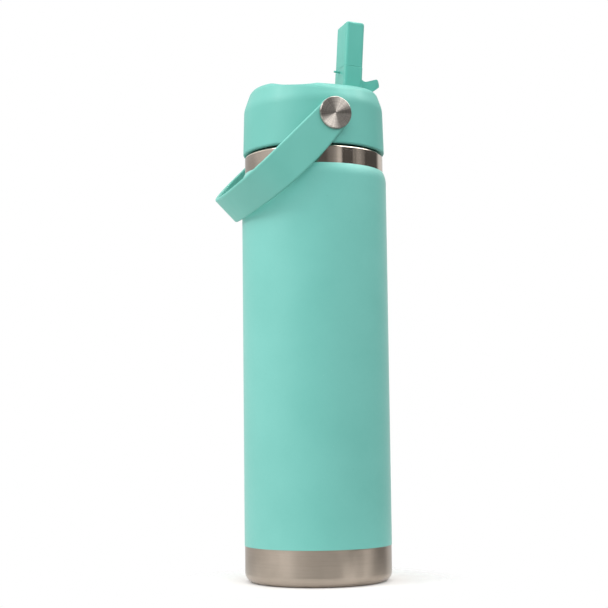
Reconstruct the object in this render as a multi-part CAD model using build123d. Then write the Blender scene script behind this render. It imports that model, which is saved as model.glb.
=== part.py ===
"""Insulated steel water bottle with a screw-on straw lid, a flip-up spout and a carry strap.

Frame: the origin is the centre of the foot and +Z runs up the bottle's axis. The carry strap
pivots about an axis along Y and hangs on the -X side. The spout is hinged on the +X side of
the lid, leans out a little when it is open, and folds towards -X. Lengths are millimetres.
"""
from build123d import *
import os
from math import asin, cos, radians, sin, sqrt

FIT = 0.02               # gap between two pieces that are pushed together
OVER = 1.0               # how far a cutting shape runs past what it cuts

# ---- steel body
BODY_R = 36.5            # over the powder coat, a 73 mm bottle
COAT_T = 0.2
SHELL_R = BODY_R - COAT_T
SHELL_T = 0.6
SHELL_LOW_Z = 4.8        # weld between the base cup and the tube
BARE_TOP_Z = 17.7        # the coat starts above the bare band of the base
BASE_ROUND = 4.6
RECESS_R = 24.0          # the foot is a ring round this recess
RECESS_Z = 1.4
RECESS_SLOPE = 1.4
SHOULDER_Z = 197.8       # the body starts to close in here
SHOULDER_R = 10.65       # radius of the shoulder's arc
NECK_R = 34.9            # bare steel band under the lid
NECK_TOP_Z = 212.2
NECK_ROUND = 1.2
THROAT_R = 32.2          # smaller neck inside the lid's skirt
LIP_Z = 218.5
CAP_R = RECESS_R - 2.2   # cover disc in the recess
CAP_T = 0.8
CAP_BEVEL = 0.3
SEAL_HOLE_R = 1.5        # evacuation hole in the base cup
SEAL_BEAD_R = 2.2
SEAL_BEAD_TOP_R = 0.9
SEAL_BEAD_T = 0.8
GETTER_R = 5.0
GETTER_T = 1.6
GETTER_X = -12.0

# ---- inner vessel
LINER_R = 33.3
LINER_T = 0.5
LINER_LOW_Z = 8.5
LINER_TOP_Z = 191.0
LINER_NECK_Z = 200.0
LINER_FOOT_ROUND = 9.0
LINER_NECK_ROUND = 5.5
LINER_SLOPE_DROP = 0.2   # the sloping shoulder's inner face lies this much lower
MOUTH_R = 29.0

# ---- screw thread between mouth and plug
PITCH = 4.0
THREAD_TURNS = 2.0
THREAD_LOW_Z = 206.5
RIDGE_CLEAR = 0.4        # radial gap between a crest and the wall it faces
RIDGE_HEIGHT = 1.2
RIDGE_ROOT = 1.6         # axial width at the root
RIDGE_TIP = 0.7          # axial width at the crest
RIDGE_SINK = 0.2         # how far a ridge runs into its wall

# ---- lid
LID_LOW_Z = 212.85
LID_TOP_Z = 246.0        # crest of the top, which is a shallow vault along X
LID_LOW_R = 35.75
LID_LOW_ROUND = 0.9
LID_BEND_R = 35.15       # the wall turns in here
LID_BEND_Z = 235.8
LID_BEND_ROUND = 12.0
LID_TAPER = 2.8          # rise over run of the wall above the bend
VAULT_R = 165.0
VAULT_TILT = 1.1         # degrees; the top is a little higher on the -X side
RIM_ROUND = 5.0
SKIRT_IN_R = 33.4
CAVITY_R = 32.4
WALL_OVERLAP = 0.4       # how far the supports run into the lid's wall
CAVITY_TOP_Z = 240.6
CAVITY_ROUND = 3.0
FLANGE_LOW_Z = 220.2
FLANGE_T = 2.0
FLANGE_TOP_Z = FLANGE_LOW_Z + FLANGE_T
PLUG_R = MOUTH_R - RIDGE_HEIGHT - 0.6
PLUG_WALL = 2.0
PLUG_LOW_Z = 205.0
PLUG_ROUND = 1.6
SCOOP_X = -21.9          # finger groove across the lid at the folded spout's tip
SCOOP_DEPTH = 1.8
SCOOP_STEEP = 4.8        # its width on the rim's side
SCOOP_GENTLE = 15.0      # its width on the hinge's side
GASKET_GAP = 0.1         # between the gasket and what is above and below it
GASKET_IN_R = PLUG_R + 0.3
GASKET_ROUND = 0.5

# ---- spout
HINGE_X = 18.6
HINGE_Z = 241.2
HUB_R = 5.3
HUB_LENGTH = 15.6
TRUNNION_R = 2.0
TRUNNION_LENGTH = 20.8
TRUNNION_END_CLEAR = 0.2
RUN_FIT = 0.06           # radial running clearance
SPOUT_LEAN = 3.6         # degrees towards +X when open
SPOUT_THICK = 9.9
SPOUT_WIDTH = 16.0
SPOUT_STEP = 0.1         # the base is this much bigger all round than the mouthpiece
SPOUT_LENGTH = 41.3      # hinge axis to tip
SPOUT_CORNER = 1.8
SPOUT_TIP_ROUND = 1.2
SEAM_ROUND = 0.25
SEAM_HEIGHT = 17.9       # hinge axis to the mouthpiece's lower edge
SEAM_GAP = 0.05
FLOW_R = 2.3
SPIGOT_R = 3.1
SPIGOT_LENGTH = 10.0
VENT_HEIGHT = 16.0       # hinge axis to the vent pin
VENT_PIN_R = 0.5
VENT_PIN_OUT = 3.0
VENT_ROOT_R = 0.88
VENT_ROOT_DEPTH = 1.4
TAB_WIDTH = 14.0
TAB_T = 3.5
TAB_GAP = 0.75           # under the tab, over the lid's top
TAB_REACH = 15.85        # hinge axis to the tab's end
TAB_FLAT = TAB_REACH - 3.8
TAB_END_SLANT = 1.6
TAB_CURL = 3.1           # how far the end curls up
TAB_HEEL = 0.9           # extra thickness where it leaves the spout
TAB_HEEL_OUT = 1.2
TAB_ROOT_IN = 0.6
TAB_FILLET_UP = 3.0      # how far up the spout the heel's fillet starts
TAB_CURL_ROUND = 6.0
TAB_END_ROUND = 1.2
TAB_CORNER = 3.0
TAB_HEEL_ROUND = 2.6
CHANNEL_CLEAR = 0.5
CHANNEL_FLOOR = 5.6      # below the hinge axis
CHANNEL_CORNER = 1.5
POCKET_R = HUB_R + 0.35
TUB_T = 1.6              # wall of the tub under the channel
TUB_LOW_Z = HINGE_Z - POCKET_R - TUB_T
SEAL_CLEAR = 0.15        # under the folded spout
SEAL_STEP_X = 1.0        # the seal steps down this far from the hinge's axis

# ---- straw
STRAW_R = 4.0
STRAW_BORE_R = 3.2
STRAW_LOW_Z = 16.0
STRAW_TOP_Z = 203.0
STRAW_NOTCH = 3.4
NIPPLE_LOW_Z = 196.0
DUCT_R = 4.6
DUCT_BORE_R = 2.4
SLEEVE_R = 5.6
SLEEVE_DROP = 4.0        # how far the sleeve reaches below the nipple
SLEEVE_GAP = 0.1         # under the plug
SLEEVE_BEVEL = 0.8
VENT_X = HINGE_X - VENT_HEIGHT
VENT_TUBE_R = 3.4
VENT_BORE_R = 1.6
VENT_SEAT_LOW_R = 1.3
VENT_SEAT_HIGH_R = 2.1
FOAM_GAP = 0.3

# ---- carry strap and its pivots
PIVOT_X = -1.1
PIVOT_Z = 226.7
STRAP_HANG = 45.0        # degrees below level on the -X side
STRAP_WIDTH = 15.9          # at the eyes
STRAP_BOW_HALF = 9.6        # middle line to the lower edge, where the arm bows out
STRAP_BOW_FROM = 18.5
STRAP_BOW_TO = 37.0
STRAP_END_HALF = 7.4        # and at the loop's end
STRAP_T = 2.3
STRAP_OUT_Y = 38.7
STRAP_REACH = 60.5       # pivot axis to the loop's outer end
STRAP_STRAIGHT = 36.0
STRAP_ROUND = 1.0
EYE_R = 8.2
BOSS_R = EYE_R - 0.3
BOSS_ROOT = 1.5          # how far a boss starts inside the lid's wall
BOSS_FACE_Y = 35.85
MOUNT_HALF = 6.0         # block inside the lid that holds each insert
MOUNT_BACK = 0.5         # wall behind the insert
WASHER_T = 0.25
BUSH_R = 4.0
SCREW_R = 2.5
HEAD_R = 7.95
HEAD_LOW_Y = 38.85
HEAD_T = 1.3
HEAD_BEVEL = 0.35
HEAD_RIM = 0.6           # flat ring round the dished face
HEAD_DISH = 0.3
INSERT_LOW_Y = 28.0

CENTRED = (Align.CENTER, Align.CENTER, Align.CENTER)
UPWARDS = (Align.CENTER, Align.CENTER, Align.MIN)
DOWNWARDS = (Align.CENTER, Align.CENTER, Align.MAX)


def outline(points, rounds=()):
    """Closed polygon; each (point, radius) in rounds rounds the corner nearest the point."""
    face = make_face(Polyline(*points, close=True))
    for point, radius in rounds:
        corner = face.vertices().sort_by_distance(Vector(*point))[0]
        face = fillet(corner, radius)
    return face


def turned(points, rounds=()):
    """Solid of revolution about Z of an (r, z) outline."""
    return revolve(Plane.XZ * outline(points, rounds), Axis.Z)


def post(radius, low_z, high_z, x=0):
    """Upright cylinder between two heights."""
    return Pos(x, 0, low_z) * Cylinder(radius, high_z - low_z, align=UPWARDS)


def block(low, high):
    """Box between two corners."""
    size = [b - a for a, b in zip(low, high)]
    return Pos(*low) * Box(*size, align=(Align.MIN, Align.MIN, Align.MIN))


def rod_y(radius, low_y, high_y, x, z):
    """Cylinder along Y between two Y values."""
    middle = (low_y + high_y) / 2
    return Pos(x, middle, z) * Rot(90, 0, 0) * Cylinder(radius, high_y - low_y)


def shoulder_z(radius, grow):
    """Height where the shoulder's arc, moved outwards by grow, reaches a radius."""
    centre_r = SHELL_R - SHOULDER_R
    return SHOULDER_Z + sqrt((SHOULDER_R + grow) ** 2 - (radius - centre_r) ** 2)


def shoulder_arc(end_r, grow):
    """Arc from the body's wall to end_r, moved outwards by grow."""
    centre_r = SHELL_R - SHOULDER_R
    radius = SHOULDER_R + grow
    half = asin((shoulder_z(end_r, grow) - SHOULDER_Z) / radius) / 2
    start = (centre_r + radius, SHOULDER_Z)
    middle = (centre_r + radius * cos(half), SHOULDER_Z + radius * sin(half))
    end = (end_r, shoulder_z(end_r, grow))
    return ThreePointArc(start, middle, end)


def turned_wall(outer_low, outer, outer_high, inner_high, inner, inner_low):
    """Turned solid between two arcs that are joined by straight runs of points."""
    edges = [Polyline(*outer_low, outer @ 0), outer, Polyline(outer @ 1, *outer_high, *inner_high, inner @ 1)]
    edges += [inner, Polyline(inner @ 0, *inner_low, outer_low[0])]
    return revolve(Plane.XZ * make_face(Curve() + edges), Axis.Z)


def outer_shell():
    neck_corner = (NECK_R, NECK_TOP_Z)
    wall = turned_wall(
        [(SHELL_R, SHELL_LOW_Z)],
        shoulder_arc(NECK_R, 0),
        [neck_corner, (THROAT_R, NECK_TOP_Z), (THROAT_R, LIP_Z)],
        [
            (MOUTH_R + LINER_T, LIP_Z),
            (MOUTH_R + LINER_T, LIP_Z - SHELL_T),
            (THROAT_R - SHELL_T, LIP_Z - SHELL_T),
            (THROAT_R - SHELL_T, NECK_TOP_Z - SHELL_T),
            (NECK_R - SHELL_T, NECK_TOP_Z - 2 * SHELL_T),
        ],
        shoulder_arc(NECK_R - SHELL_T, -SHELL_T),
        [(SHELL_R - SHELL_T, SHELL_LOW_Z)],
    )
    corner = wall.edges().filter_by(GeomType.CIRCLE).sort_by_distance(Vector(NECK_R, 0, NECK_TOP_Z))[0]
    return fillet(corner, NECK_ROUND)


def powder_coat():
    coat_neck = NECK_R + COAT_T
    edges = [Line((BODY_R, BARE_TOP_Z), (BODY_R, SHOULDER_Z)), shoulder_arc(coat_neck, COAT_T)]
    inner = shoulder_arc(NECK_R, 0)
    top_z = shoulder_z(coat_neck, COAT_T)
    edges += [Polyline((coat_neck, top_z), (NECK_R, top_z), inner @ 1), inner]
    edges += [Polyline(inner @ 0, (SHELL_R, BARE_TOP_Z), (BODY_R, BARE_TOP_Z))]
    return revolve(Plane.XZ * make_face(Curve() + edges), Axis.Z)


def ridge(wall_r, height, low_z):
    """Helical thread ridge; a negative height points it towards the axis."""
    root_r = wall_r + (-RIDGE_SINK if height > 0 else RIDGE_SINK)
    crest_r = wall_r + height
    path = Helix(PITCH, PITCH * THREAD_TURNS, wall_r)
    section = outline([
        (root_r, -RIDGE_ROOT / 2),
        (crest_r, -RIDGE_TIP / 2),
        (crest_r, RIDGE_TIP / 2),
        (root_r, RIDGE_ROOT / 2),
    ])
    return Pos(0, 0, low_z) * sweep(Plane.XZ * section, path=path, is_frenet=True)


def inner_vessel():
    out_neck = MOUTH_R + LINER_T
    in_r = LINER_R - LINER_T
    top_z = LIP_Z - FIT / 2
    foot_in = (in_r, LINER_LOW_Z + LINER_T)
    shoulder_in = (in_r, LINER_TOP_Z - LINER_SLOPE_DROP)
    neck_in = (MOUTH_R, LINER_NECK_Z - LINER_SLOPE_DROP)
    wall = turned(
        [
            (0, LINER_LOW_Z),
            (LINER_R, LINER_LOW_Z),
            (LINER_R, LINER_TOP_Z),
            (out_neck, LINER_NECK_Z),
            (out_neck, top_z),
            (MOUTH_R, top_z),
            neck_in,
            shoulder_in,
            foot_in,
            (0, LINER_LOW_Z + LINER_T),
        ],
        [
            ((LINER_R, LINER_LOW_Z), LINER_FOOT_ROUND),
            (foot_in, LINER_FOOT_ROUND - LINER_T),
            ((LINER_R, LINER_TOP_Z), LINER_NECK_ROUND),
            (shoulder_in, LINER_NECK_ROUND - LINER_T),
            ((out_neck, LINER_NECK_Z), LINER_NECK_ROUND - LINER_T),
            (neck_in, LINER_NECK_ROUND),
        ],
    )
    return wall + ridge(MOUTH_R, -RIDGE_HEIGHT, THREAD_LOW_Z)


def base_cup():
    in_r = SHELL_R - SHELL_T
    cup = turned(
        [
            (0, RECESS_Z),
            (RECESS_R - RECESS_SLOPE, RECESS_Z),
            (RECESS_R, 0),
            (SHELL_R, 0),
            (SHELL_R, SHELL_LOW_Z),
            (in_r, SHELL_LOW_Z),
            (in_r, SHELL_T),
            (RECESS_R + SHELL_T / 2, SHELL_T),
            (RECESS_R - RECESS_SLOPE + SHELL_T / 2, RECESS_Z + SHELL_T),
            (0, RECESS_Z + SHELL_T),
        ],
        [((SHELL_R, 0), BASE_ROUND), ((in_r, SHELL_T), BASE_ROUND - SHELL_T)],
    )
    return cup - post(SEAL_HOLE_R, 0, SHELL_LOW_Z)


def base_cap():
    """Cover disc pressed into the recess, over the sealed evacuation hole."""
    disc = post(CAP_R, RECESS_Z - CAP_T, RECESS_Z)
    return chamfer(disc.faces().sort_by(Axis.Z)[0].edges(), CAP_BEVEL)


def vacuum_seal():
    """Bead of solder glass that plugs the evacuation hole."""
    plug = post(SEAL_HOLE_R - FIT, RECESS_Z + FIT, RECESS_Z + SHELL_T)
    bead = Cone(SEAL_BEAD_R, SEAL_BEAD_TOP_R, SEAL_BEAD_T, align=UPWARDS)
    return plug + Pos(0, 0, RECESS_Z + SHELL_T) * bead


def vacuum_getter():
    """Gas-absorbing pellet held on the base cup, inside the vacuum."""
    return post(GETTER_R, RECESS_Z + SHELL_T, RECESS_Z + SHELL_T + GETTER_T, x=GETTER_X)


def vault_frame():
    """Frame of the lid's vaulted top: its X axis is the vault's own axis."""
    return Pos(0, 0, LID_TOP_Z) * Rot(0, VAULT_TILT, 0) * Pos(0, 0, -VAULT_R)


def lid_outer():
    """The lid's outer form, filled: a turned wall under a vaulted top with a soft rim."""
    over_z = LID_TOP_Z + RIM_ROUND
    over_r = LID_BEND_R - (over_z - LID_BEND_Z) / LID_TAPER
    wall = turned(
        [(0, LID_LOW_Z), (LID_LOW_R, LID_LOW_Z), (LID_BEND_R, LID_BEND_Z), (over_r, over_z), (0, over_z)],
        [((LID_LOW_R, LID_LOW_Z), LID_LOW_ROUND), ((LID_BEND_R, LID_BEND_Z), LID_BEND_ROUND)],
    )
    vault = vault_frame() * Rot(0, 90, 0) * Cylinder(VAULT_R, 3 * LID_LOW_R)
    form = wall & vault
    rim = form.faces().sort_by(Axis.Z)[-1].edges()
    return fillet(rim, RIM_ROUND)


def spout_swing():
    """Room in the lid for the spout: a pocket round the hub and a channel towards -X."""
    half = SPOUT_WIDTH / 2 + SPOUT_STEP + CHANNEL_CLEAR
    tip_x = HINGE_X - SPOUT_LENGTH - CHANNEL_CLEAR
    over_z = LID_TOP_Z + OVER
    channel = block((tip_x, -half, HINGE_Z - CHANNEL_FLOOR), (HINGE_X, half, over_z))
    corners = channel.edges().filter_by(Axis.Z).sort_by(Axis.X)[:2]
    channel = fillet(corners, CHANNEL_CORNER)
    pocket = rod_y(POCKET_R, -half, half, HINGE_X, HINGE_Z)
    throat = block((HINGE_X, -half, HINGE_Z), (HINGE_X + POCKET_R, half, over_z))
    return channel + pocket + throat


def scoop():
    """Finger groove that crosses the vault at an even depth, steep on the rim's side."""
    low = (SCOOP_X, VAULT_R - SCOOP_DEPTH)
    edges = []
    for width in (-SCOOP_STEEP, SCOOP_GENTLE):
        radius = (width ** 2 + SCOOP_DEPTH ** 2) / (2 * SCOOP_DEPTH)
        half = asin(abs(width) / radius) / 2
        side = 1 if width > 0 else -1
        middle = (SCOOP_X + side * radius * sin(half), low[1] + radius * (1 - cos(half)))
        edges.append(ThreePointArc(low, middle, (SCOOP_X + width, VAULT_R)))
    over = VAULT_R + SCOOP_DEPTH
    corners = [(SCOOP_X - SCOOP_STEEP, over), (SCOOP_X + SCOOP_GENTLE, over)]
    edges.append(Polyline(edges[0] @ 1, *corners, edges[1] @ 1))
    return vault_frame() * revolve(Plane.XZ * make_face(Curve() + edges), Axis.X)


def pivot_bosses():
    """Round pads that stand out of the lid's wall under the strap's eyes."""
    bar = rod_y(BOSS_R, -BOSS_FACE_Y, BOSS_FACE_Y, PIVOT_X, PIVOT_Z)
    return bar - post(LID_BEND_R - BOSS_ROOT, LID_LOW_Z, LID_TOP_Z)


def lid_inside():
    """Hollow of the lid: the skirt's bore, then the cavity over the plug's flange."""
    skirt = post(SKIRT_IN_R, LID_LOW_Z - OVER, FLANGE_TOP_Z)
    cavity = post(CAVITY_R, FLANGE_TOP_Z, CAVITY_TOP_Z)
    return skirt + fillet(cavity.faces().sort_by(Axis.Z)[-1].edges(), CAVITY_ROUND)


def lid_supports():
    """What stands inside the lid's hollow: the tub under the spout and a block for each pivot."""
    reach = CAVITY_R + WALL_OVERLAP
    half = SPOUT_WIDTH / 2 + SPOUT_STEP + CHANNEL_CLEAR + TUB_T
    ends = (HINGE_X - SPOUT_LENGTH - CHANNEL_CLEAR - TUB_T, HINGE_X + POCKET_R + TUB_T)
    tub = block((ends[0], -half, TUB_LOW_Z), (ends[1], half, CAVITY_TOP_Z + OVER))
    mount = block(
        (PIVOT_X - MOUNT_HALF, INSERT_LOW_Y - MOUNT_BACK, FLANGE_TOP_Z),
        (PIVOT_X + MOUNT_HALF, reach, PIVOT_Z + MOUNT_HALF),
    )
    mounts = (mount + mirror(mount, Plane.XZ)) & post(reach, FLANGE_TOP_Z, CAVITY_TOP_Z)
    return (tub & post(reach, TUB_LOW_Z, CAVITY_TOP_Z + OVER)) + mounts


def lid_cover():
    cover = lid_outer() - lid_inside() + lid_supports() + pivot_bosses() - spout_swing() - scoop()
    for side in (-1, 1):
        ends = sorted((side * (INSERT_LOW_Y - OVER), side * (BOSS_FACE_Y + OVER)))
        cover -= rod_y(BUSH_R, *ends, PIVOT_X, PIVOT_Z)
    half = TRUNNION_LENGTH / 2 + TRUNNION_END_CLEAR
    cover -= rod_y(TRUNNION_R + RUN_FIT, -half, half, HINGE_X, HINGE_Z)
    cover -= post(DUCT_R, TUB_LOW_Z - OVER, HINGE_Z, x=HINGE_X)
    return cover - post(VENT_TUBE_R, TUB_LOW_Z - OVER, HINGE_Z, x=VENT_X)


def lid_plug():
    """Threaded plug with the straw's duct and the vent tube."""
    flange_r = SKIRT_IN_R - FIT
    bore_r = PLUG_R - PLUG_WALL
    cup = turned(
        [
            (0, PLUG_LOW_Z),
            (PLUG_R, PLUG_LOW_Z),
            (PLUG_R, FLANGE_LOW_Z),
            (flange_r, FLANGE_LOW_Z),
            (flange_r, FLANGE_TOP_Z),
            (bore_r, FLANGE_TOP_Z),
            (bore_r, PLUG_LOW_Z + PLUG_WALL),
            (0, PLUG_LOW_Z + PLUG_WALL),
        ],
        [((PLUG_R, PLUG_LOW_Z), PLUG_ROUND)],
    )
    cup += ridge(PLUG_R, MOUTH_R - RIDGE_CLEAR - PLUG_R, THREAD_LOW_Z + PITCH / 2)
    cup += post(DUCT_R - FIT, PLUG_LOW_Z, TUB_LOW_Z, x=HINGE_X)
    cup += post(STRAW_BORE_R - FIT, NIPPLE_LOW_Z, PLUG_LOW_Z + OVER, x=HINGE_X)
    cup += post(VENT_TUBE_R - FIT, PLUG_LOW_Z, TUB_LOW_Z, x=VENT_X)
    cup -= post(DUCT_BORE_R, NIPPLE_LOW_Z - OVER, TUB_LOW_Z + OVER, x=HINGE_X)
    return cup - post(VENT_BORE_R, PLUG_LOW_Z - OVER, TUB_LOW_Z + OVER, x=VENT_X)


def lid_foam():
    """Insulating foam disc inside the plug."""
    disc = post(PLUG_R - PLUG_WALL - FOAM_GAP, PLUG_LOW_Z + PLUG_WALL + FOAM_GAP, FLANGE_TOP_Z)
    disc -= post(DUCT_R + FOAM_GAP, PLUG_LOW_Z, LID_TOP_Z, x=HINGE_X)
    return disc - post(VENT_TUBE_R + FOAM_GAP, PLUG_LOW_Z, LID_TOP_Z, x=VENT_X)


def lid_gasket():
    """Flat sealing ring between the bottle's lip and the plug's flange."""
    out_r = THROAT_R - GASKET_GAP
    low_z = LIP_Z + GASKET_GAP
    high_z = FLANGE_LOW_Z - GASKET_GAP
    return turned(
        [(GASKET_IN_R, low_z), (out_r, low_z), (out_r, high_z), (GASKET_IN_R, high_z)],
        [((out_r, low_z), GASKET_ROUND), ((GASKET_IN_R, low_z), GASKET_ROUND)],
    )


def spout_seal():
    """Soft saddle under the hub; it seals the flow port when the spout is folded."""
    ring = post(DUCT_R - FIT, TUB_LOW_Z, HINGE_Z, x=HINGE_X)
    ring -= post(DUCT_BORE_R, TUB_LOW_Z - OVER, HINGE_Z, x=HINGE_X)
    ring -= rod_y(HUB_R + RUN_FIT, -DUCT_R - OVER, DUCT_R + OVER, HINGE_X, HINGE_Z)
    folded_low = HINGE_Z - SPOUT_THICK / 2 - SPOUT_STEP - SEAL_CLEAR
    low = (HINGE_X - 2 * DUCT_R, -2 * DUCT_R, folded_low)
    return ring - block(low, (HINGE_X - SEAL_STEP_X, 2 * DUCT_R, HINGE_Z))


def vent_valve():
    """Soft seat in the channel's floor that the spout's vent pin plugs."""
    floor_z = HINGE_Z - CHANNEL_FLOOR
    seat = post(VENT_TUBE_R - FIT, TUB_LOW_Z, floor_z, x=VENT_X)
    mouth = Cone(VENT_SEAT_LOW_R, VENT_SEAT_HIGH_R, floor_z - TUB_LOW_Z + 2 * FIT, align=UPWARDS)
    return seat - Pos(VENT_X, 0, TUB_LOW_Z - FIT) * mouth


def straw_adapter():
    """Soft sleeve that holds the straw on the plug's nipple."""
    ring = post(SLEEVE_R, NIPPLE_LOW_Z - SLEEVE_DROP, PLUG_LOW_Z - SLEEVE_GAP, x=HINGE_X)
    ring -= post(STRAW_R, NIPPLE_LOW_Z - SLEEVE_DROP - OVER, PLUG_LOW_Z, x=HINGE_X)
    return chamfer(ring.faces().sort_by(Axis.Z)[0].edges().sort_by(SortBy.LENGTH)[-1], SLEEVE_BEVEL)


def straw():
    """Straight drinking straw with a notch at its lower end."""
    tube = post(STRAW_R - FIT, STRAW_LOW_Z, STRAW_TOP_Z, x=HINGE_X)
    tube -= post(STRAW_BORE_R, STRAW_LOW_Z - OVER, STRAW_TOP_Z + OVER, x=HINGE_X)
    notch = Pos(HINGE_X, 0, STRAW_LOW_Z) * Rot(0, 45, 0) * Box(STRAW_NOTCH, 3 * STRAW_R, STRAW_NOTCH)
    return tube - notch


def lean(part):
    """Turn an upright spout part to its open angle about the hinge."""
    return Pos(HINGE_X, 0, HINGE_Z) * Rot(0, SPOUT_LEAN, 0) * part


def spout_base():
    """Hinged base: hub, trunnions, the lower half of the spout and the thumb tab."""
    thick = SPOUT_THICK + 2 * SPOUT_STEP
    width = SPOUT_WIDTH + 2 * SPOUT_STEP
    column = block((-thick / 2, -width / 2, 0), (thick / 2, width / 2, SEAM_HEIGHT))
    column = fillet(column.edges().filter_by(Axis.Z), SPOUT_CORNER)
    column = fillet(column.faces().sort_by(Axis.Z)[-1].edges(), SEAM_ROUND)
    hub = rod_y(HUB_R, -HUB_LENGTH / 2, HUB_LENGTH / 2, 0, 0)
    pins = rod_y(TRUNNION_R, -TRUNNION_LENGTH / 2, TRUNNION_LENGTH / 2, 0, 0)
    spigot = post(SPIGOT_R, SEAM_HEIGHT - OVER, SEAM_HEIGHT + SPIGOT_LENGTH)
    base = column + hub + pins + spigot
    base -= post(FLOW_R, -HUB_R - OVER, SEAM_HEIGHT + SPIGOT_LENGTH + OVER)
    socket = Cylinder(VENT_ROOT_R + FIT, VENT_ROOT_DEPTH + OVER, align=DOWNWARDS)
    base -= Pos(VENT_ROOT_DEPTH - thick / 2, 0, VENT_HEIGHT) * Rot(0, 90, 0) * socket
    return lean(base) + thumb_tab()


def thumb_tab():
    """Tab that rests over the lid's rim on the +X side and curls up to a rounded end."""
    low_z = LID_TOP_Z + TAB_GAP - HINGE_Z
    bend = (TAB_FLAT, low_z)
    end_low = (TAB_REACH, low_z + TAB_CURL)
    end_high = (TAB_REACH - TAB_END_SLANT, low_z + TAB_CURL + TAB_T)
    heel = (HUB_R + TAB_HEEL_OUT, low_z + TAB_T + TAB_HEEL)
    top_z = heel[1] + TAB_FILLET_UP
    face = outline(
        [(0, low_z), bend, end_low, end_high, heel, (HUB_R - TAB_ROOT_IN, top_z), (0, top_z)],
        [(bend, TAB_CURL_ROUND), (end_low, TAB_END_ROUND), (end_high, TAB_END_ROUND), (heel, TAB_HEEL_ROUND)],
    )
    tab = extrude(Plane.XZ * face, TAB_WIDTH / 2, both=True)
    plan = block((-OVER, -TAB_WIDTH / 2, low_z - OVER), (TAB_REACH, TAB_WIDTH / 2, top_z + OVER))
    corners = plan.edges().filter_by(Axis.Z).sort_by(Axis.X)[-2:]
    return Pos(HINGE_X, 0, HINGE_Z) * (tab & fillet(corners, TAB_CORNER))


def mouthpiece():
    """Soft bite piece pushed over the base's spigot."""
    low = (-SPOUT_THICK / 2, -SPOUT_WIDTH / 2, SEAM_HEIGHT + SEAM_GAP)
    body = block(low, (SPOUT_THICK / 2, SPOUT_WIDTH / 2, SPOUT_LENGTH))
    body = fillet(body.edges().filter_by(Axis.Z), SPOUT_CORNER)
    body = fillet(body.faces().sort_by(Axis.Z)[-1].edges(), SPOUT_TIP_ROUND)
    body = fillet(body.faces().sort_by(Axis.Z)[0].edges(), SEAM_ROUND)
    body -= post(SPIGOT_R + FIT, SEAM_HEIGHT - OVER, SEAM_HEIGHT + SPIGOT_LENGTH + SEAM_GAP)
    body -= post(FLOW_R, SEAM_HEIGHT, SPOUT_LENGTH + OVER)
    return lean(body)


def vent_plug():
    """Soft pin on the spout's inner face."""
    face_x = -SPOUT_THICK / 2 - SPOUT_STEP
    root = Rot(0, 90, 0) * Cylinder(VENT_ROOT_R, VENT_ROOT_DEPTH, align=DOWNWARDS)
    pin = Rot(0, 90, 0) * Cylinder(VENT_PIN_R, VENT_PIN_OUT + VENT_ROOT_DEPTH, align=DOWNWARDS)
    return lean(Pos(face_x + VENT_ROOT_DEPTH, 0, VENT_HEIGHT) * (root + pin))


def strap_plane():
    """Local frame of the strap: x out along the arms, z across the band, origin on the pivot."""
    hang = radians(STRAP_HANG)
    return Plane((PIVOT_X, 0, PIVOT_Z), x_dir=(-cos(hang), 0, -sin(hang)), z_dir=(-sin(hang), 0, cos(hang)))


def loop_face(inset):
    """Filled U of the strap, moved inwards by inset."""
    half = STRAP_OUT_Y - inset
    depth = STRAP_REACH - STRAP_STRAIGHT - inset
    quadrants = Rectangle(2 * depth, 2 * half, align=(Align.MIN, Align.CENTER))
    end = Pos(STRAP_STRAIGHT, 0) * (Ellipse(depth, half) & quadrants)
    back = STRAP_STRAIGHT + EYE_R + 2 * inset
    arms = Pos(STRAP_STRAIGHT - back, 0) * Rectangle(back, 2 * half, align=(Align.MIN, Align.CENTER))
    return end + arms


def strap_side():
    """The strap seen from the side: its upper edge is straight and its lower edge bows out."""
    half = STRAP_WIDTH / 2
    end = STRAP_REACH + OVER
    widest = [(STRAP_BOW_FROM, -STRAP_BOW_HALF), (STRAP_BOW_TO, -STRAP_BOW_HALF)]
    bow = Spline((0, -half), *widest, (end, -STRAP_END_HALF))
    rest = Polyline((end, -STRAP_END_HALF), (end, half), (0, half), (0, -half))
    return make_face([bow, rest])


def carry_strap():
    """Moulded U-shaped strap with a round eye at each end."""
    band = extrude(loop_face(0) - loop_face(STRAP_T), STRAP_BOW_HALF + OVER, both=True)
    side = Circle(EYE_R) + strap_side()
    band = band & extrude(Plane.XZ * side, STRAP_OUT_Y + OVER, both=True)
    long_edges = [edge for edge in band.edges() if edge.length > STRAP_WIDTH + 1]
    band = fillet(long_edges, STRAP_ROUND)
    hole = rod_y(BUSH_R + RUN_FIT, -STRAP_OUT_Y - OVER, STRAP_OUT_Y + OVER, 0, 0)
    return strap_plane() * (band - hole)


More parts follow.
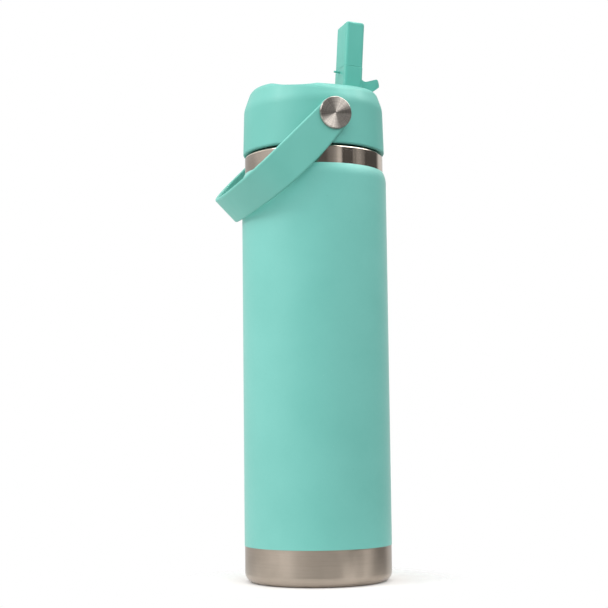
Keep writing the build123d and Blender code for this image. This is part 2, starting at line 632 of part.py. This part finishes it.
def pivot_parts(side):
    """Screw, bush, washer and threaded insert of one strap pivot; side is -1 or 1."""
    def along(radius, low_y, high_y):
        ends = sorted((side * low_y, side * high_y))
        return rod_y(radius, *ends, PIVOT_X, PIVOT_Z)

    head_top = HEAD_LOW_Y + HEAD_T
    head = along(HEAD_R, HEAD_LOW_Y, head_top)
    rim = head.faces().sort_by(Axis.Y)[-1 if side > 0 else 0].edges()
    head = chamfer(rim, HEAD_BEVEL)
    dish = Cone(HEAD_R - HEAD_RIM, HEAD_DISH, HEAD_DISH, align=UPWARDS)
    head -= Pos(PIVOT_X, side * head_top, PIVOT_Z) * Rot(90 * side, 0, 0) * dish
    bore_r = SCREW_R + FIT
    return {
        "screw": head + along(SCREW_R, INSERT_LOW_Y + 0.5, HEAD_LOW_Y + FIT),
        "bush": along(BUSH_R, BOSS_FACE_Y, HEAD_LOW_Y) - along(bore_r, BOSS_FACE_Y - OVER, HEAD_LOW_Y + OVER),
        "washer": along(BOSS_R, BOSS_FACE_Y, BOSS_FACE_Y + WASHER_T)
        - along(BUSH_R + FIT, BOSS_FACE_Y - OVER, HEAD_LOW_Y),
        "insert": along(BUSH_R, INSERT_LOW_Y, BOSS_FACE_Y) - along(bore_r, INSERT_LOW_Y - OVER, HEAD_LOW_Y),
    }


def build_parts():
    parts = {
        "outer_shell": outer_shell(),
        "powder_coat": powder_coat(),
        "inner_vessel": inner_vessel(),
        "base_cup": base_cup(),
        "base_cap": base_cap(),
        "vacuum_seal": vacuum_seal(),
        "vacuum_getter": vacuum_getter(),
        "lid_gasket": lid_gasket(),
        "lid_cover": lid_cover(),
        "lid_plug": lid_plug(),
        "lid_foam": lid_foam(),
        "spout_seal": spout_seal(),
        "vent_valve": vent_valve(),
        "straw_adapter": straw_adapter(),
        "straw": straw(),
        "spout_base": spout_base(),
        "mouthpiece": mouthpiece(),
        "vent_plug": vent_plug(),
        "carry_strap": carry_strap(),
    }
    for name, side in (("near", -1), ("far", 1)):
        for piece, solid in pivot_parts(side).items():
            parts[f"pivot_{piece}_{name}"] = solid
    return parts


os.makedirs("parts", exist_ok=True)
for node, solid in build_parts().items():
    export_step(solid, f"parts/{node}.step")
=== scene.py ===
"""The looks of the insulated bottle: materials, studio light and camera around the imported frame.

Everything is in metres, in the frame of the part: +Z up, the foot on z = 0, the carry strap
towards -X.
"""

from math import cos, pi, radians, sin

import bpy
from mathutils import Matrix, Vector


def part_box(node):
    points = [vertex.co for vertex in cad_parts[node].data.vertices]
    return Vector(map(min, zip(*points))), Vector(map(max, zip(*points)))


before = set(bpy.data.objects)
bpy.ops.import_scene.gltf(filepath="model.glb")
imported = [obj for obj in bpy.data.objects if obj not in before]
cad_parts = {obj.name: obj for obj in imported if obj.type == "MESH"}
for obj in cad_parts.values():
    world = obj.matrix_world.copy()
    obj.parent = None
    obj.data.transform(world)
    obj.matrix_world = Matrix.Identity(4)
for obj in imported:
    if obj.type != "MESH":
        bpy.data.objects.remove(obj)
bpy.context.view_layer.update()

MM = 0.001

# Where the camera stands. The bottle is turned by TURN in front of it.
TURN = radians(17.7)
CAMERA_BACK = 0.6893
CAMERA_UP = 0.07515
CAMERA_PITCH = radians(5.169)
CAMERA_YAW = radians(-0.477)
CAMERA_ROLL = radians(-0.657)
SENSOR = 36.0
LENS = 81.28

# Linear colours. A pair is the darker shade and the lighter one.
WHITE = (1.0, 1.0, 1.0)
COAT = ((0.150, 0.53, 0.47), (0.165, 0.555, 0.495))
COAT_GRAIN = (0.30, 0.72, 0.64)
COAT_SPECKS = ((0.05, 0.25, 0.21), (0.50, 0.85, 0.78))
LID_TEAL = ((0.13, 0.475, 0.412), (0.145, 0.505, 0.442))
STRAP_TEAL = ((0.14, 0.50, 0.43), (0.155, 0.53, 0.46))
SPOUT_TEAL = ((0.095, 0.465, 0.39), (0.11, 0.495, 0.42))
NECK_STEEL = ((0.52, 0.455, 0.39), (0.62, 0.54, 0.465))
BASE_STEEL = ((0.42, 0.36, 0.30), (0.50, 0.43, 0.366))
# Painted shade: a dark colour for the throat steel in the gap under the lid, which is only in shadow.
THROAT_PAINTED_SHADE = (0.20, 0.185, 0.17)
# The screw's steel, lighter and darker along radial rays: painted highlight streaks of its reflection.
SCREW_STEEL_AND_PAINTED_STREAKS = ((0.38, 0.35, 0.32), (0.72, 0.67, 0.62))
SCREW_GROOVE = (0.22, 0.20, 0.18)
BRASS = ((0.50, 0.36, 0.15), (0.62, 0.46, 0.20))
GETTER_ALLOY = ((0.22, 0.21, 0.20), (0.32, 0.31, 0.30))
MILKY_RUBBER = ((0.66, 0.69, 0.68), (0.80, 0.82, 0.81))
GLASS = ((0.12, 0.12, 0.13), (0.17, 0.17, 0.18))
BUSH_BLACK = ((0.02, 0.02, 0.021), (0.03, 0.03, 0.031))
PLUG_BLACK = ((0.055, 0.056, 0.058), (0.07, 0.071, 0.073))
FOAM = ((0.70, 0.70, 0.68), (0.80, 0.80, 0.78))
STRAW = ((0.72, 0.74, 0.74), (0.80, 0.82, 0.82))
FLOOR = ((0.80, 0.80, 0.80), (0.82, 0.82, 0.82))

# Brushed steel: the shell's radius, the scale of the hair lines round the bottle (the smaller, the
# longer), the height above which it is the polished neck, the radius inside which the throat's steel
# gets a painted shade of the gap under the lid, and how far out that fades.
SHELL_R = 36.3 * MM
HAIR_STRETCH = 0.012
NECK_FROM_Z = 0.19
THROAT_R = 32.3 * MM
THROAT_EDGE = 1.2 * MM
BASE_ROUGH = 0.315
NECK_ROUGH = 0.10


# ---------------------------------------------------------------- node graphs


class Graph:
    """A material's or the world's node tree, with short ways to add nodes to it."""

    def __init__(self, tree):
        self.tree = tree
        self.tree.nodes.clear()

    def put(self, target, value):
        """Sets an input socket, or links it when the value is another node's output."""
        if isinstance(value, bpy.types.NodeSocket):
            self.tree.links.new(value, target)
        elif isinstance(value, tuple) and len(value) == 3 and target.type == "RGBA":
            target.default_value = (*value, 1.0)
        else:
            target.default_value = value

    def add(self, kind, inputs=None, **settings):
        """A node of that kind, its settings, and its inputs by name or number."""
        node = self.tree.nodes.new(kind)
        for name, value in settings.items():
            setattr(node, name, value)
        for name, value in (inputs or {}).items():
            self.put(node.inputs[name], value)
        return node

    def math(self, operation, a, b=0.0, clamp=False):
        return self.add("ShaderNodeMath", {0: a, 1: b}, operation=operation, use_clamp=clamp).outputs[0]

    def remap(self, value, low, high, to_low, to_high, kind="LINEAR"):
        inputs = {"Value": value, "From Min": low, "From Max": high, "To Min": to_low, "To Max": to_high}
        return self.add("ShaderNodeMapRange", inputs, interpolation_type=kind, clamp=True).outputs[0]

    def blend(self, share, a, b):
        """Colour a where share is 0 and b where it is 1."""
        node = self.add("ShaderNodeMix", data_type="RGBA")
        self.put(node.inputs[0], share)
        self.put(node.inputs[6], a)
        self.put(node.inputs[7], b)
        return node.outputs[2]

    def place(self, stretch=(1.0, 1.0, 1.0)):
        """The point's place on its own node, in metres, stretched along each axis."""
        coordinates = self.add("ShaderNodeTexCoord").outputs["Object"]
        return self.add("ShaderNodeMapping", {"Vector": coordinates, "Scale": stretch}).outputs[0]

    def noise(self, vector, size, detail=2.0, rough=0.5):
        """Noise from 0 to 1, whose lumps are about that size in metres."""
        inputs = {"Vector": vector, "Scale": 1.0 / size, "Detail": detail, "Roughness": rough}
        return self.add("ShaderNodeTexNoise", inputs).outputs[0]

    def bump(self, height, depth, strength=1.0, normal=None):
        inputs = {"Height": height, "Distance": depth, "Strength": strength}
        if normal is not None:
            inputs["Normal"] = normal
        return self.add("ShaderNodeBump", inputs).outputs[0]


def finish_with(name, paint):
    """A material: paint(graph) returns the inputs of its main shader."""
    material = bpy.data.materials.new(name)
    material.use_nodes = True
    graph = Graph(material.node_tree)
    shader = graph.add("ShaderNodeBsdfPrincipled", paint(graph))
    output = graph.add("ShaderNodeOutputMaterial")
    material.node_tree.links.new(shader.outputs[0], output.inputs[0])
    return material


# ---------------------------------------------------------------- materials


def specks(graph, cell, radius, share):
    """1 on small round specks, one in some of the cells of that size, 0 elsewhere."""
    inputs = {"Vector": graph.place(), "Scale": 1.0 / cell, "Randomness": 1.0}
    cells = graph.add("ShaderNodeTexVoronoi", inputs, feature="F1")
    near = graph.remap(cells.outputs["Distance"], radius / cell * 0.6, radius / cell, 1.0, 0.0)
    pick = graph.add("ShaderNodeSeparateColor", {0: cells.outputs["Color"]}).outputs[0]
    return graph.math("MULTIPLY", near, graph.math("LESS_THAN", pick, share))


def powder_coat():
    """Matt powder paint: fine orange peel, a little mottling and a few specks."""

    def paint(graph):
        place = graph.place()
        mottle = graph.noise(place, 28 * MM, 3.0)
        grain = graph.noise(place, 0.55 * MM, 2.0)
        peel = graph.noise(place, 1.6 * MM, 2.0)
        colour = graph.blend(graph.remap(mottle, 0.35, 0.65, 0.0, 1.0), *COAT)
        colour = graph.blend(graph.math("MULTIPLY", grain, 0.10), colour, COAT_GRAIN)
        dark_specks = specks(graph, 5.5 * MM, 0.22 * MM, 0.30)
        colour = graph.blend(graph.math("MULTIPLY", dark_specks, 0.45), colour, COAT_SPECKS[0])
        pale_specks = specks(graph, 4.1 * MM, 0.20 * MM, 0.30)
        colour = graph.blend(graph.math("MULTIPLY", pale_specks, 0.35), colour, COAT_SPECKS[1])
        height = graph.math("ADD", graph.math("MULTIPLY", grain, 0.35), peel)
        return {
            "Base Color": colour,
            "Roughness": graph.remap(peel, 0.3, 0.7, 0.46, 0.56),
            "Sheen Weight": 0.30,
            "Sheen Roughness": 0.35,
            "Specular IOR Level": 0.85,
            "Normal": graph.bump(height, 0.03 * MM),
        }

    return finish_with("teal_powder_coat", paint)


def moulded(name, shades, rough, grain_depth, soft=0.0, gloss=0.7):
    """Teal moulded plastic or rubber between two shades, with a fine spark-eroded grain.

    soft is the share of the light that goes into it, and gloss how strongly its surface mirrors.
    """

    def paint(graph):
        place = graph.place()
        drift = graph.noise(place, 22 * MM, 3.0)
        grain = graph.noise(place, 0.35 * MM, 2.0)
        smear = graph.noise(graph.place((1.0, 1.0, 0.25)), 5 * MM, 3.0)
        inputs = {
            "Base Color": graph.blend(graph.remap(drift, 0.3, 0.7, 0.0, 1.0), *shades),
            "Roughness": graph.remap(smear, 0.3, 0.7, rough - 0.04, rough + 0.05),
            "Specular IOR Level": gloss,
            "Normal": graph.bump(grain, grain_depth),
        }
        if soft:
            inputs["Subsurface Weight"] = soft
            inputs["Subsurface Radius"] = (0.6, 1.0, 0.95)
            inputs["Subsurface Scale"] = 1.6 * MM
        return inputs

    return finish_with(name, paint)


def around(graph, axis, centre):
    """Round an axis through centre: the angle from -pi to pi and the distance from the axis."""
    shifted = graph.add("ShaderNodeVectorMath", {0: graph.place(), 1: centre}, operation="SUBTRACT")
    parts = graph.add("ShaderNodeSeparateXYZ", {0: shifted.outputs[0]}).outputs
    across, up = {"Z": (parts[0], parts[1]), "Y": (parts[0], parts[2])}[axis]
    angle = graph.math("ARCTAN2", up, across)
    square = graph.math("ADD", graph.math("MULTIPLY", across, across), graph.math("MULTIPLY", up, up))
    return angle, graph.math("SQRT", square), parts


def brushed_steel(name, shades, rough, neck=None):
    """Steel brushed round the bottle: hair lines that run round Z, with soft cloudy wear.

    neck, where the piece reaches it, is (shades, rough) of the finer polish above the coat; inside the
    throat radius the colour gets a painted shade.
    """

    def paint(graph):
        angle, radius, parts = around(graph, "Z", (0.0, 0.0, 0.0))
        turn = graph.math("MULTIPLY", angle, SHELL_R * HAIR_STRETCH)
        lines = graph.add("ShaderNodeCombineXYZ", {0: turn, 1: parts[2], 2: radius}).outputs[0]
        hair = graph.noise(lines, 0.16 * MM, 3.0, 0.6)
        band = graph.noise(lines, 0.9 * MM, 2.0)
        cloud = graph.noise(graph.place(), 9 * MM, 3.0)
        share = graph.math("MULTIPLY", hair, 0.45)
        share = graph.math("ADD", share, graph.math("MULTIPLY", band, 0.15))
        share = graph.math("ADD", share, graph.math("MULTIPLY", cloud, 0.40))
        share = graph.remap(share, 0.36, 0.64, 0.0, 1.0)
        colour = graph.blend(share, *shades)
        roughness = graph.remap(cloud, 0.3, 0.7, rough - 0.03, rough + 0.05)
        height = graph.math("ADD", hair, graph.math("MULTIPLY", band, 0.15))
        if neck:
            neck_shades, neck_rough = neck
            high = graph.math("GREATER_THAN", parts[2], NECK_FROM_Z)
            colour = graph.blend(high, colour, graph.blend(share, *neck_shades))
            fine = graph.remap(cloud, 0.3, 0.7, neck_rough - 0.02, neck_rough + 0.02)
            roughness = graph.add("ShaderNodeMix", {0: high, 2: roughness, 3: fine}).outputs[0]
            height = graph.math("MULTIPLY", height, graph.remap(high, 0.0, 1.0, 1.0, 0.25))
            # Painted shade: inside the throat radius the colour is darkened to the shadow of the gap under
            # the lid.
            throat_painted_shade_mask = graph.remap(radius, THROAT_R, THROAT_R + THROAT_EDGE, 1.0, 0.0)
            colour = graph.blend(throat_painted_shade_mask, colour, THROAT_PAINTED_SHADE)
        tangent = graph.add("ShaderNodeTangent", direction_type="RADIAL", axis="Z").outputs[0]
        return {
            "Base Color": colour,
            "Metallic": 1.0,
            "Roughness": roughness,
            "Anisotropic": 0.88,
            "Anisotropic Rotation": 0.25,
            "Tangent": tangent,
            "Normal": graph.bump(height, 0.004 * MM),
        }

    return finish_with(name, paint)


def spun_steel(name, node):
    """A screw head faced on a lathe: fine rings round its own axis, which is along Y, with painted
    highlight streaks along radial rays.
    """
    low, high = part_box(node)
    centre = (low + high) / 2

    def paint(graph):
        angle, radius, parts = around(graph, "Y", (centre.x, 0.0, centre.z))
        rings = graph.add("ShaderNodeCombineXYZ", {0: radius, 1: graph.math("MULTIPLY", angle, 0.02 * MM)})
        ring = graph.noise(rings.outputs[0], 0.12 * MM, 2.0, 0.6)
        groove = graph.noise(rings.outputs[0], 0.5 * MM, 2.0, 0.6)
        # Noise along radial rays: in the colour it is painted highlight streaks, and it also sets the
        # roughness.
        along = graph.math("MULTIPLY", angle, 8 * MM)
        outwards = graph.math("MULTIPLY", radius, 0.05)
        rays = graph.add("ShaderNodeCombineXYZ", {0: along, 1: outwards})
        ray_roughness_and_painted_highlight = graph.noise(rays.outputs[0], 0.8 * MM, 3.0, 0.6)
        tangent = graph.add("ShaderNodeTangent", direction_type="RADIAL", axis="Y").outputs[0]
        colour = graph.blend(graph.remap(ray_roughness_and_painted_highlight, 0.3, 0.7, 0.0, 1.0), *SCREW_STEEL_AND_PAINTED_STREAKS)
        return {
            "Base Color": graph.blend(graph.remap(groove, 0.35, 0.65, 0.45, 0.0), colour, SCREW_GROOVE),
            "Metallic": 1.0,
            "Roughness": graph.remap(ray_roughness_and_painted_highlight, 0.3, 0.7, 0.42, 0.30),
            "Anisotropic": 1.0,
            "Anisotropic Rotation": 0.25,
            "Tangent": tangent,
            "Normal": graph.bump(ring, 0.004 * MM),
        }

    return finish_with(name, paint)


def bead_blasted(name, shades, rough):
    """Plain worked metal with a fine even grain, for the pieces inside."""

    def paint(graph):
        grain = graph.noise(graph.place(), 0.3 * MM, 3.0)
        cloud = graph.noise(graph.place(), 6 * MM, 2.0)
        return {
            "Base Color": graph.blend(graph.remap(cloud, 0.3, 0.7, 0.0, 1.0), *shades),
            "Metallic": 1.0,
            "Roughness": graph.remap(grain, 0.3, 0.7, rough - 0.05, rough + 0.08),
            "Normal": graph.bump(grain, 0.01 * MM),
        }

    return finish_with(name, paint)


def clear_silicone():
    """Milky translucent rubber."""

    def paint(graph):
        cloud = graph.noise(graph.place(), 4 * MM, 3.0)
        grain = graph.noise(graph.place(), 0.3 * MM, 2.0)
        return {
            "Base Color": graph.blend(graph.remap(cloud, 0.3, 0.7, 0.0, 1.0), *MILKY_RUBBER),
            "Roughness": graph.remap(grain, 0.3, 0.7, 0.30, 0.42),
            "Transmission Weight": 0.45,
            "IOR": 1.41,
            "Subsurface Weight": 0.3,
            "Subsurface Radius": (1.0, 1.0, 1.0),
            "Subsurface Scale": 2.0 * MM,
            "Normal": graph.bump(grain, 0.004 * MM),
        }

    return finish_with("milky_silicone", paint)


def plain_plastic(name, shades, rough, grain_size=0.35 * MM, depth=0.01 * MM, clear=0.0):
    """Moulded plastic that isn't teal."""

    def paint(graph):
        drift = graph.noise(graph.place(), 12 * MM, 3.0)
        grain = graph.noise(graph.place(), grain_size, 2.0)
        inputs = {
            "Base Color": graph.blend(graph.remap(drift, 0.3, 0.7, 0.0, 1.0), *shades),
            "Roughness": graph.remap(grain, 0.3, 0.7, rough - 0.04, rough + 0.05),
            "Normal": graph.bump(grain, depth),
        }
        if clear:
            inputs["Transmission Weight"] = clear
        return inputs

    return finish_with(name, paint)


def dress(material, *nodes):
    """Gives CAD nodes that material."""
    for name in nodes:
        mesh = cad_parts[name].data
        mesh.materials.clear()
        mesh.materials.append(material)


def dress_all():
    lid = moulded("teal_lid_plastic", LID_TEAL, 0.48, 0.012 * MM, gloss=0.6)
    mouth = moulded("teal_silicone", SPOUT_TEAL, 0.45, 0.010 * MM, soft=0.20)
    dress(powder_coat(), "powder_coat")
    dress(lid, "lid_cover")
    dress(moulded("teal_strap_plastic", STRAP_TEAL, 0.46, 0.012 * MM), "carry_strap")
    dress(moulded("teal_spout_plastic", SPOUT_TEAL, 0.40, 0.010 * MM, soft=0.10), "spout_base")
    dress(mouth, "mouthpiece", "vent_plug")
    dress(brushed_steel("brushed_base_steel", BASE_STEEL, BASE_ROUGH), "base_cup", "base_cap")
    polish = (NECK_STEEL, NECK_ROUGH)
    dress(brushed_steel("brushed_shell_steel", BASE_STEEL, BASE_ROUGH, polish), "outer_shell")
    dress(bead_blasted("satin_vessel_steel", NECK_STEEL, 0.38), "inner_vessel")
    for side in ("near", "far"):
        screw = f"pivot_screw_{side}"
        dress(spun_steel(f"spun_screw_steel_{side}", screw), screw)
    dress(bead_blasted("insert_brass", BRASS, 0.35), "pivot_insert_near", "pivot_insert_far")
    dress(bead_blasted("getter_alloy", GETTER_ALLOY, 0.6), "vacuum_getter")
    dress(plain_plastic("seal_glass", GLASS, 0.12, clear=0.2), "vacuum_seal")
    bush = plain_plastic("bush_plastic", BUSH_BLACK, 0.45)
    dress(bush, "pivot_bush_near", "pivot_bush_far", "pivot_washer_near", "pivot_washer_far")
    dress(plain_plastic("plug_plastic", PLUG_BLACK, 0.5), "lid_plug")
    dress(plain_plastic("foam", FOAM, 0.9, 0.8 * MM, 0.2 * MM), "lid_foam")
    dress(plain_plastic("straw_plastic", STRAW, 0.34, clear=0.4), "straw")
    dress(clear_silicone(), "lid_gasket", "spout_seal", "vent_valve", "straw_adapter")


# ---------------------------------------------------------------- studio

# The studio round the bottle, as grey levels by the angle from the camera round to its right, in
# degrees: a pale tent to the left, the dark room past the camera, and strips to the right.
TENT = (
    (-180, 0.60),
    (-140, 0.46),
    (-120, 0.44),
    (-100, 0.56),
    (-75, 0.70),
    (-50, 0.62),
    (-34, 0.10),
    (9, 0.12),
    (21, 0.12),
    (24, 0.22),
    (32, 0.35),
    (38, 0.58),
    (41, 0.90),
    (46, 0.90),
    (49, 0.11),
    (67, 0.11),
    (70, 0.38),
    (73, 0.27),
    (77, 0.48),
    (83, 0.48),
    (88, 0.34),
    (93, 0.24),
    (96, 0.10),
    (129, 0.10),
    (140, 0.85),
    (180, 0.60),
)

# What metal and gloss see of the ground round the little floor, by the same angle.
GROUND = (
    (-180, 0.70),
    (-120, 0.80),
    (-90, 1.02),
    (-75, 0.98),
    (-55, 0.94),
    (-45, 0.98),
    (-35, 1.10),
    (-25, 1.32),
    (-15, 1.12),
    (-6, 1.00),
    (22, 0.90),
    (32, 0.72),
    (40, 0.48),
    (49, 0.08),
    (56, 0.02),
    (63, 0.02),
    (74, 0.30),
    (88, 0.56),
    (98, 0.44),
    (118, 0.44),
    (140, 0.56),
    (180, 0.70),
)

# How the ground lights the bottle, by the same angle.
BOUNCE = (
    (-180, 0.60),
    (-120, 1.35),
    (-60, 1.35),
    (-25, 0.60),
    (15, 0.46),
    (120, 0.44),
    (180, 0.60),
)

# Where the studio's sides end and its ground begins. Heights are of a unit direction, from -1
# to 1, here and below.
GROUND_FULL = -0.08
GROUND_FROM = -0.01

# The ceiling that lights the bottle.
CEILING = 1.15
CEILING_FROM = 0.20
CEILING_FULL = 0.48

# What metal and gloss see overhead instead, by the same angle: a dark gap above the tent. Straight
# up it is bright, and there is one brighter panel high on the right.
OVERHEAD = (
    (-180, 0.80),
    (-110, 1.35),
    (-60, 0.95),
    (-32, 0.15),
    (130, 0.13),
    (150, 0.70),
    (180, 0.80),
)
OVERHEAD_FROM = 0.195
OVERHEAD_FULL = 0.26
ZENITH = 2.1
ZENITH_FROM = 0.70
ZENITH_FULL = 0.95
PANEL = 8.0
PANEL_ANGLE = 85
PANEL_HALF = 25
PANEL_HALF_FADED = 45
PANEL_FROM = 0.38
PANEL_FULL = 0.60

# All of it is a little warm.
TINT = (1.0, 0.985, 0.965)

# The floor fades into the backdrop between these distances from the bottle's axis.
FLOOR_FROM = 0.041
FLOOR_GONE = 0.078


def tinted(level):
    return tuple(level * c for c in TINT)


def horizon(graph, angle, levels):
    """Grey levels by the angle round the bottle, as a colour."""
    ramp = graph.add("ShaderNodeValToRGB", {0: graph.remap(angle, -pi, pi, 0.0, 1.0)})
    stops = ramp.color_ramp.elements
    for degrees, level in levels[1:-1]:
        stops.new((degrees + 180) / 360)
    for stop, (degrees, level) in zip(stops, levels):
        stop.position = (degrees + 180) / 360
        stop.color = (*tinted(level), 1.0)
    return ramp.outputs[0]


def make_world():
    """The studio: one for plain light, one for reflections, and a plain white backdrop."""
    world = bpy.data.worlds.new("studio")
    bpy.context.scene.world = world
    world.use_nodes = True
    graph = Graph(world.node_tree)
    way = graph.add("ShaderNodeTexCoord").outputs["Generated"]
    turned = graph.add("ShaderNodeVectorRotate", {"Vector": way, "Angle": TURN}, rotation_type="Z_AXIS")
    parts = graph.add("ShaderNodeSeparateXYZ", {0: turned.outputs[0]}).outputs
    angle = graph.math("ARCTAN2", parts[0], graph.math("MULTIPLY", parts[1], -1.0))
    path = graph.add("ShaderNodeLightPath").outputs
    above_ground = graph.remap(parts[2], GROUND_FULL, GROUND_FROM, 0.0, 1.0, "SMOOTHSTEP")
    tent = horizon(graph, angle, TENT)
    ceiling = graph.remap(parts[2], CEILING_FROM, CEILING_FULL, 0.0, 1.0, "SMOOTHSTEP")
    lit_by = graph.blend(above_ground, horizon(graph, angle, BOUNCE), tent)
    lit_by = graph.blend(ceiling, lit_by, tinted(CEILING))
    overhead = graph.remap(parts[2], OVERHEAD_FROM, OVERHEAD_FULL, 0.0, 1.0, "SMOOTHSTEP")
    mirrored = graph.blend(above_ground, horizon(graph, angle, GROUND), tent)
    mirrored = graph.blend(overhead, mirrored, horizon(graph, angle, OVERHEAD))
    zenith = graph.remap(parts[2], ZENITH_FROM, ZENITH_FULL, 0.0, 1.0, "SMOOTHSTEP")
    mirrored = graph.blend(zenith, mirrored, tinted(ZENITH))
    off_centre = graph.math("ABSOLUTE", graph.math("SUBTRACT", angle, radians(PANEL_ANGLE)))
    edge = (radians(PANEL_HALF), radians(PANEL_HALF_FADED))
    across = graph.remap(off_centre, *edge, 1.0, 0.0, "SMOOTHSTEP")
    up = graph.remap(parts[2], PANEL_FROM, PANEL_FULL, 0.0, 1.0, "SMOOTHSTEP")
    mirrored = graph.blend(graph.math("MULTIPLY", across, up), mirrored, tinted(PANEL))
    light = graph.blend(path["Is Glossy Ray"], lit_by, mirrored)
    colour = graph.blend(path["Is Camera Ray"], light, WHITE)
    background = graph.add("ShaderNodeBackground", {"Color": colour, "Strength": 1.0})
    output = graph.add("ShaderNodeOutputWorld")
    world.node_tree.links.new(background.outputs[0], output.inputs[0])


def from_camera_side(right, back, up):
    """A place given from where the camera stands: to its right, away from it, and up, in metres."""
    return Vector((right * cos(TURN) + back * sin(TURN), -right * sin(TURN) + back * cos(TURN), up))


def soft_box(name, place, aim, size, power, mirrored=True):
    """A square soft light at place that points at aim; mirrored, it is seen in metal and gloss."""
    light = bpy.data.lights.new(name, "AREA")
    light.shape = "SQUARE"
    light.size = size
    light.energy = power
    lamp = bpy.data.objects.new(name, light)
    lamp.location = place
    lamp.rotation_euler = (place - aim).to_track_quat("Z", "Y").to_euler()
    lamp.visible_camera = False
    lamp.visible_glossy = mirrored
    bpy.context.scene.collection.objects.link(lamp)


def make_lights():
    middle = Vector((0.0, 0.0, 0.14))
    soft_box("key_light", from_camera_side(-0.70, -0.38, 0.84), middle, 0.50, 4.3)
    soft_box("front_light", from_camera_side(0.45, -0.95, 0.80), middle, 0.60, 4.0, False)


def make_floor():
    """A plain pale floor, which fades out a little way from the bottle's foot."""
    half = 8.0
    mesh = bpy.data.meshes.new("floor")
    corners = [(-half, -half, 0), (half, -half, 0), (half, half, 0), (-half, half, 0)]
    mesh.from_pydata(corners, [], [(0, 1, 2, 3)])

    def paint(graph):
        grain = graph.noise(graph.place(), 0.4, 2.0)
        length = graph.add("ShaderNodeVectorMath", {0: graph.place()}, operation="LENGTH")
        away = length.outputs["Value"]
        return {
            "Base Color": graph.blend(graph.remap(grain, 0.3, 0.7, 0.0, 1.0), *FLOOR),
            "Roughness": 0.9,
            "Emission Color": WHITE,
            "Emission Strength": 0.05,
            "Alpha": graph.remap(away, FLOOR_FROM, FLOOR_GONE, 1.0, 0.0, "SMOOTHSTEP"),
        }

    mesh.materials.append(finish_with("pale_floor", paint))
    floor = bpy.data.objects.new("floor", mesh)
    bpy.context.scene.collection.objects.link(floor)


def make_camera():
    """The camera: its place and its axes, first as it stands, then turned into the frame of the part."""
    ahead = cos(CAMERA_PITCH)
    forward = Vector((sin(CAMERA_YAW) * ahead, cos(CAMERA_YAW) * ahead, sin(CAMERA_PITCH)))
    level = Vector((cos(CAMERA_YAW), -sin(CAMERA_YAW), 0.0))
    above = level.cross(forward)
    right = cos(CAMERA_ROLL) * level + sin(CAMERA_ROLL) * above
    up = cos(CAMERA_ROLL) * above - sin(CAMERA_ROLL) * level
    axes = Matrix((right, up, -forward)).transposed().to_4x4()
    data = bpy.data.cameras.new("camera")
    data.sensor_width = SENSOR
    data.lens = LENS
    data.clip_start = 0.01
    data.clip_end = 50.0
    camera = bpy.data.objects.new("camera", data)
    place = Matrix.Translation((0.0, -CAMERA_BACK, CAMERA_UP))
    camera.matrix_world = Matrix.Rotation(-TURN, 4, "Z") @ place @ axes
    bpy.context.scene.collection.objects.link(camera)
    bpy.context.scene.camera = camera


make_camera()
make_world()
make_lights()
make_floor()
dress_all()
bpy.context.scene.view_settings.view_transform = "Standard"
